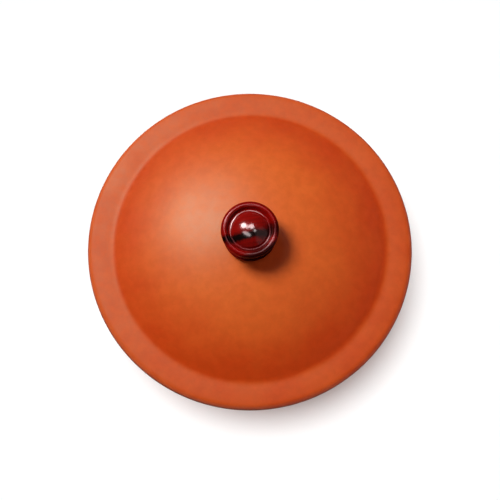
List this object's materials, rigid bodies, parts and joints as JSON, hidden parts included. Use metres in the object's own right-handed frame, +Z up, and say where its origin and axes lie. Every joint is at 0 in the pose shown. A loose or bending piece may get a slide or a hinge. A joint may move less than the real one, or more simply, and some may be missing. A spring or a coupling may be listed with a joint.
{
  "type": "curd pot",
  "caption": "Round terracotta curd pot with a flat flared rim, a domed lift-off lid that drops into its mouth, and a turned red lacquered knob screwed to the dome.",
  "frame": {"origin": "centre of the foot ring, on the surface that the pot stands on", "axes": "+Z up along the axis of the pot, -Y towards the viewer of the picture, +X to the viewer's right"},
  "size_m": [0.19, 0.19, 0.1395],
  "materials": {
    "terracotta": "satin",
    "red_lacquer": "gloss",
    "brass": "satin",
    "zinc_steel": "satin",
    "washer_rubber": "matte"
  },
  "bodies": {
    "pot": {"pot_body": "terracotta"},
    "lid_washers": {"screw_washer": "zinc_steel", "cushion_washer": "washer_rubber"},
    "lid": {"lid_shell": "terracotta", "knob_screw": "zinc_steel", "knob_washer": "washer_rubber"},
    "knob": {"knob": "red_lacquer", "knob_insert": "brass"}
  },
  "joints": [
    {"name": "lid_lift", "type": "slide", "parent": "pot", "child": "lid_washers", "axis": [0, 0, 1], "range_m": [0, 0.1]},
    {"name": "lid_turn", "type": "hinge", "parent": "lid_washers", "child": "lid", "pos_m": [0, 0, 0.11], "axis": [0, 0, 1], "continuous": true},
    {"name": "knob_unscrew", "type": "hinge", "parent": "lid", "child": "knob", "pos_m": [0, 0, 0.12], "axis": [0, 0, 1], "range_deg": [0, 3600]}
  ]
}
